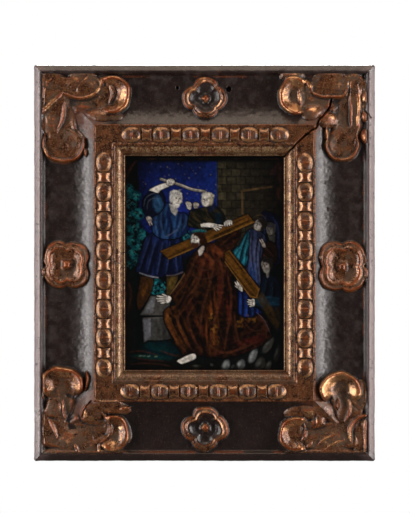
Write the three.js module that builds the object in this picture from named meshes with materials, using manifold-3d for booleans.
// A small painted enamel plaque in its carved, part-gilt wooden frame.
//
// Units are millimetres, X to the right, Z up, and the picture faces -Y. The wall is the plane
// y = 0. The origin is on the back of the top rail, at the middle of its length, where the frame
// hangs.
//
// Each rail is drawn lying along its own x axis: its outer edge is y = 0, its sight edge
// y = RAIL_WIDTH, its back z = 0, and heights are measured from that back. "Inward" is the
// distance from the outer edge, and "along" is the distance from the corner of the frame.

import Module from "manifold-3d";
import * as THREE from "three";
import { mergeVertices } from "three/addons/utils/BufferGeometryUtils.js";

const wasm = await Module();
wasm.setup();

// The frame as a whole.
const FRAME_WIDTH = 204;
const FRAME_HEIGHT = 237;
const RAIL_WIDTH = 54.5;
const HANG_DROP = 25;
const MITRE_GAP = 0.3;
const OPENED_MITRE = 0.7;

// The rail's mouldings, from the outer edge to the sight edge.
const EDGE_HEIGHT = 18.5;
const EDGE_ROUND = 2.1;
const FILLET_START = 3.6;
const FILLET_END = 4.8;
const FILLET_HEIGHT = 17.6;
const TROUGH_START = 6.6;
const TROUGH_HEIGHT = 16;
const HOLLOW_START = 20;
const HOLLOW_END = 36;
const HOLLOW_RADIUS = 24;
const HOLLOW_STEPS = 4;
const BED_START = 37.8;
const BED_END = 45.9;
const BED_HEIGHT = 22.6;
const RIDGE_END = 48.3;
const RIDGE_HEIGHT = 23.2;
const COVE_END = 52.6;
const SIGHT_HEIGHT = 17.4;
const REBATE_HEIGHT = 13.5;
const REBATE_WIDTH = 4;
const CURVE_STEPS = 3;

// The bead moulding.
const BEAD_PITCH = 17.4;
const BEAD_LENGTH = 12;
const BEAD_WIDTH = 7.8;
const BEAD_PROUD = 4.2;
const REEL_LENGTH = 6;
const REEL_ENDS = 3.3;
const REEL_WAIST = 2.3;
const BEAD_SIDES = 8;
const BEAD_RINGS = 6;
const BEADS_ACROSS = 6;
const BEADS_UP = 8;

// Carving stands in the hollow of the rail and is let into it by this much.
const LET_IN = 1.5;
const CARVING_TRIM = 0.06;

// Outlines of the carved forms, from the middle out, as shares of the radius and millimetres proud.
const BOSS_FORM = [[0, 2.4], [0.32, 3.2], [0.56, 4.9], [0.8, 3], [0.9, 3.2], [1, 0.7]];
const BOWL_FORM = [[0, 1.2], [0.55, 1.6], [0.84, 3.1], [1, 0.7]];
const LOBE_FORM = [[0, 3.1], [0.6, 2.5], [1, 0.5]];
const ROSETTE_FORM = [
  [0, 4.8], [0.24, 2.2], [0.46, 1.6], [0.6, 3.3], [0.7, 2.2], [0.9, 3.8], [1, 0.7],
];
const BOSS_SIDES = 12;
const LOBE_SIDES = 8;
const ROSETTE_SIDES = 28;
const PETAL_NOTCH = 0.24;

// Half of a corner leaf: where each lobe sits and its two radii, with its turn in degrees.
const BOSS_ALONG = 49.2;
const BOSS_INWARD = 18.9;
const BOSS_RADIUS = 9.6;
const CORNER_LOBES = [
  { form: BOWL_FORM, along: 30.5, inward: 12.4, radii: [11.4, 6.4], turn: 4 },
  { form: LOBE_FORM, along: 15.4, inward: 12, radii: [7.4, 4.2], turn: 40 },
  { form: LOBE_FORM, along: 41, inward: 28.8, radii: [8.6, 4.6], turn: -4 },
  { form: LOBE_FORM, along: 31.4, inward: 27.2, radii: [5.6, 5], turn: 0 },
];
const STEM_START = 11;
const STEM_INWARD = 19.2;
const STEM_SECTION = [
  [-3.4, -LET_IN], [3.4, -LET_IN], [3.2, 2], [2.1, 3.6], [0, 1.9], [-2.1, 3.6], [-3.2, 2],
];

// Two old screw holes in the top rail, beside its rosette. The top rail is turned end for end, so
// a positive offset on it is to the left when the frame hangs.
const SCREW_HOLES = [
  { offset: 16.2, inward: 13.6, radius: 0.9 },
  { offset: -14.5, inward: 14.3, radius: 1.5 },
];
const SCREW_DEPTH = 5;
const SCREW_SIDES = 8;

// The enamel plaque.
const PLAQUE_PLAY = 0.5;
const PLAQUE_THICKNESS = 2;
const PLAQUE_DOME = 1.6;
const PLAQUE_STEPS = [8, 10];

const WELD = 1e-4;

// The same solid as a closed body that can be joined and cut.
function toSolid(geometry) {
  geometry.deleteAttribute("normal");
  geometry.deleteAttribute("uv");
  const merged = mergeVertices(geometry, WELD);
  const corners = merged.index.array;
  const kept = [];
  for (let i = 0; i < corners.length; i += 3) {
    const triangle = corners.slice(i, i + 3);
    if (new Set(triangle).size === 3) kept.push(...triangle);
  }
  const vertProperties = new Float32Array(merged.attributes.position.array);
  return new wasm.Manifold(new wasm.Mesh({ numProp: 3, vertProperties, triVerts: new Uint32Array(kept) }));
}

function toGeometry(solid) {
  const { vertProperties, triVerts } = solid.getMesh();
  const geometry = new THREE.BufferGeometry();
  geometry.setAttribute("position", new THREE.BufferAttribute(vertProperties, 3));
  geometry.setIndex(new THREE.BufferAttribute(triVerts, 1));
  geometry.computeVertexNormals();
  return geometry;
}

// Height of the rail's front where the carving stands: a flat trough that curves up inwards.
function hollowHeight(inward) {
  const run = Math.max(0, inward - HOLLOW_START);
  return TROUGH_HEIGHT + HOLLOW_RADIUS - Math.sqrt(HOLLOW_RADIUS ** 2 - run ** 2);
}

// The rail's section, inward across and height up.
function railSection() {
  const section = new THREE.Shape();
  section.moveTo(0, 0);
  section.lineTo(RAIL_WIDTH - REBATE_WIDTH, 0);
  section.lineTo(RAIL_WIDTH - REBATE_WIDTH, REBATE_HEIGHT);
  section.lineTo(RAIL_WIDTH, REBATE_HEIGHT);
  section.lineTo(RAIL_WIDTH, SIGHT_HEIGHT);
  section.lineTo(COVE_END, SIGHT_HEIGHT);
  section.quadraticCurveTo(COVE_END - 1, RIDGE_HEIGHT - 1, RIDGE_END, RIDGE_HEIGHT);
  section.lineTo(BED_END, RIDGE_HEIGHT);
  section.lineTo(BED_END, BED_HEIGHT);
  section.lineTo(BED_START, BED_HEIGHT);
  for (let step = HOLLOW_STEPS; step >= 0; step--) {
    const inward = HOLLOW_START + ((HOLLOW_END - HOLLOW_START) * step) / HOLLOW_STEPS;
    section.lineTo(inward, hollowHeight(inward));
  }
  section.lineTo(TROUGH_START, TROUGH_HEIGHT);
  section.lineTo(FILLET_END, FILLET_HEIGHT);
  section.lineTo(FILLET_START, FILLET_HEIGHT);
  section.lineTo(EDGE_ROUND, EDGE_HEIGHT);
  section.quadraticCurveTo(0, EDGE_HEIGHT, 0, EDGE_HEIGHT - EDGE_ROUND);
  return section;
}

// How far a rail reaches from its middle to its mitre. An opened mitre gapes at the sight edge.
function mitreReach(rail, end, inward) {
  const opened = rail.openedEnd === end ? (OPENED_MITRE * inward) / RAIL_WIDTH : 0;
  return rail.length / 2 - inward - (MITRE_GAP + opened) / Math.SQRT2;
}

// A bar of the given section along the rail, cut to the rail's two mitres.
function mitredBar(section, rail, trim) {
  const geometry = new THREE.ExtrudeGeometry(section, {
    depth: 1, steps: 1, bevelEnabled: false, curveSegments: CURVE_STEPS,
  });
  const position = geometry.attributes.position;
  for (let i = 0; i < position.count; i++) {
    const inward = position.getX(i);
    const end = position.getZ(i) > 0.5 ? 1 : -1;
    position.setXYZ(i, end * (mitreReach(rail, end, inward) - trim), inward, position.getY(i));
  }
  return toSolid(geometry);
}

// The space between the mitres that carving may fill.
function carvingSpace(rail) {
  const space = new THREE.Shape();
  space.moveTo(0, 0);
  space.lineTo(RAIL_WIDTH, 0);
  space.lineTo(RAIL_WIDTH, 2 * EDGE_HEIGHT);
  space.lineTo(0, 2 * EDGE_HEIGHT);
  return mitredBar(space, rail, CARVING_TRIM);
}

// A round carved form: its outline is turned about the height axis and let into the wood.
function turned(form, sides) {
  const outline = form.map(([share, proud]) => new THREE.Vector2(share, proud));
  outline.push(new THREE.Vector2(1, -LET_IN), new THREE.Vector2(0, -LET_IN));
  const geometry = new THREE.LatheGeometry(outline.reverse(), sides);
  geometry.rotateX(Math.PI / 2);
  return geometry;
}

function standAt(geometry, x, inward) {
  return geometry.translate(x, inward, hollowHeight(inward));
}

// One lobe of a corner leaf, on the half of the leaf that this rail carries at that end.
function cornerLobe({ form, along, inward, radii, turn }, rail, end, sides) {
  const geometry = turned(form, sides);
  geometry.scale(radii[0], radii[1], 1);
  geometry.rotateZ(-end * THREE.MathUtils.degToRad(turn));
  return standAt(geometry, end * (rail.length / 2 - along), inward);
}

// The fluted stem that runs from the mitre into the boss.
function stem(rail, end) {
  const section = new THREE.Shape(STEM_SECTION.map(([across, proud]) => new THREE.Vector2(across, proud)));
  const reach = BOSS_ALONG - STEM_START;
  const geometry = new THREE.ExtrudeGeometry(section, { depth: reach, steps: 1, bevelEnabled: false });
  geometry.applyMatrix4(new THREE.Matrix4().set(0, 0, 1, -reach / 2, 1, 0, 0, 0, 0, 1, 0, 0, 0, 0, 0, 1));
  return standAt(geometry, end * (rail.length / 2 - STEM_START - reach / 2), STEM_INWARD);
}

function cornerLeaf(rail, end) {
  const boss = {
    form: BOSS_FORM, along: BOSS_ALONG, inward: BOSS_INWARD, radii: [BOSS_RADIUS, BOSS_RADIUS], turn: 0,
  };
  const forms = CORNER_LOBES.map((lobe) => cornerLobe(lobe, rail, end, LOBE_SIDES));
  return [stem(rail, end), cornerLobe(boss, rail, end, BOSS_SIDES), ...forms];
}

// A flower of four petals: a turned form whose outer part is drawn in between the petals.
function rosette({ offset, inward, radius, turn }) {
  const geometry = turned(ROSETTE_FORM, ROSETTE_SIDES);
  const position = geometry.attributes.position;
  for (let i = 0; i < position.count; i++) {
    const x = position.getX(i);
    const y = position.getY(i);
    const share = THREE.MathUtils.smoothstep(Math.hypot(x, y), 0.55, 0.9);
    const notch = 1 - Math.abs(Math.cos(2 * Math.atan2(y, x)));
    const reach = radius * (1 - PETAL_NOTCH * share * notch ** 2);
    position.setXYZ(i, x * reach, y * reach, position.getZ(i));
  }
  geometry.rotateZ(THREE.MathUtils.degToRad(turn));
  return standAt(geometry, offset, inward);
}

function bead() {
  const geometry = new THREE.SphereGeometry(1, BEAD_SIDES, BEAD_RINGS);
  return geometry.scale(BEAD_WIDTH / 2, BEAD_LENGTH / 2, BEAD_PROUD);
}

function reel() {
  const half = REEL_LENGTH / 2;
  const outline = [[0, -half], [REEL_ENDS, -half], [REEL_WAIST, 0], [REEL_ENDS, half], [0, half]];
  return new THREE.LatheGeometry(outline.map(([radius, x]) => new THREE.Vector2(radius, x)), BEAD_SIDES);
}

// The bead moulding: long beads with a waisted reel between each two, half sunk in their bed.
function beadRow(count) {
  const middle = (BED_START + BED_END) / 2;
  const forms = [];
  for (let i = 0; i < 2 * count - 1; i++) {
    const geometry = i % 2 === 0 ? bead() : reel();
    geometry.rotateZ(Math.PI / 2);
    forms.push(geometry.translate(((i + 1 - count) * BEAD_PITCH) / 2, middle, BED_HEIGHT));
  }
  return forms;
}

function screwHole({ offset, inward, radius }) {
  const geometry = new THREE.CylinderGeometry(radius, radius, 2 * SCREW_DEPTH, SCREW_SIDES);
  geometry.rotateX(Math.PI / 2);
  return standAt(geometry, offset, inward);
}

// A whole rail: the mitred moulding, the beads, and the carving in its hollow.
function railGeometry(rail) {
  let solid = mitredBar(railSection(), rail, 0);
  for (const form of beadRow(rail.beads)) solid = solid.add(toSolid(form));
  let carving = toSolid(rosette(rail.rosette));
  for (const end of [-1, 1]) {
    for (const form of cornerLeaf(rail, end)) carving = carving.add(toSolid(form));
  }
  solid = solid.add(carving.intersect(carvingSpace(rail)));
  for (const hole of rail.holes ?? []) solid = solid.subtract(toSolid(screwHole(hole)));
  return toGeometry(solid);
}

// The plaque: a thin sheet, pressed slightly out towards the front.
function plaqueGeometry() {
  const width = FRAME_WIDTH - 2 * (RAIL_WIDTH - REBATE_WIDTH + PLAQUE_PLAY);
  const height = FRAME_HEIGHT - 2 * (RAIL_WIDTH - REBATE_WIDTH + PLAQUE_PLAY);
  const geometry = new THREE.BoxGeometry(width, height, PLAQUE_THICKNESS, ...PLAQUE_STEPS, 1);
  const position = geometry.attributes.position;
  for (let i = 0; i < position.count; i++) {
    const across = (2 * position.getX(i)) / width;
    const up = (2 * position.getY(i)) / height;
    const dome = PLAQUE_DOME * (1 - across ** 2) * (1 - up ** 2);
    position.setZ(i, position.getZ(i) + dome);
  }
  return toGeometry(toSolid(geometry));
}

// Each piece has a material of its own: worn gilding over dark paint, and glossy dark enamel.
const gildedWood = () => new THREE.MeshStandardMaterial({ color: 0x4a3425, roughness: 0.4 });
const enamel = new THREE.MeshStandardMaterial({ color: 0x1c2430, roughness: 0.15 });

// Where each rail goes in the frame, seen from the front, and what is carved on it.
const middleHeight = HANG_DROP - FRAME_HEIGHT / 2;
const rails = [
  {
    name: "top_rail", length: FRAME_WIDTH, beads: BEADS_ACROSS, openedEnd: -1, holes: SCREW_HOLES,
    rosette: { offset: -0.9, inward: 20.1, radius: 13, turn: 0 },
    turn: Math.PI, x: 0, y: HANG_DROP,
  },
  {
    name: "bottom_rail", length: FRAME_WIDTH, beads: BEADS_ACROSS,
    rosette: { offset: 0.3, inward: 19.6, radius: 14.4, turn: 0 },
    turn: 0, x: 0, y: HANG_DROP - FRAME_HEIGHT,
  },
  {
    name: "left_rail", length: FRAME_HEIGHT, beads: BEADS_UP,
    rosette: { offset: 1.8, inward: 19.2, radius: 14, turn: 45 },
    turn: -Math.PI / 2, x: -FRAME_WIDTH / 2, y: middleHeight,
  },
  {
    name: "right_rail", length: FRAME_HEIGHT, beads: BEADS_UP, openedEnd: 1,
    rosette: { offset: -2.1, inward: 19.7, radius: 15.2, turn: 45 },
    turn: Math.PI / 2, x: FRAME_WIDTH / 2, y: middleHeight,
  },
];

// Everything is laid out flat with its front up, then stood against the wall.
const framedPlaque = new THREE.Group();
framedPlaque.rotation.x = Math.PI / 2;

for (const rail of rails) {
  const mesh = new THREE.Mesh(railGeometry(rail), gildedWood());
  mesh.name = rail.name;
  mesh.position.set(rail.x, rail.y, 0);
  mesh.rotation.z = rail.turn;
  framedPlaque.add(mesh);
}

const plaque = new THREE.Mesh(plaqueGeometry(), enamel);
plaque.name = "enamel_plaque";
plaque.position.set(0, middleHeight, REBATE_HEIGHT - MITRE_GAP - PLAQUE_THICKNESS / 2);
framedPlaque.add(plaque);

export default framedPlaque;
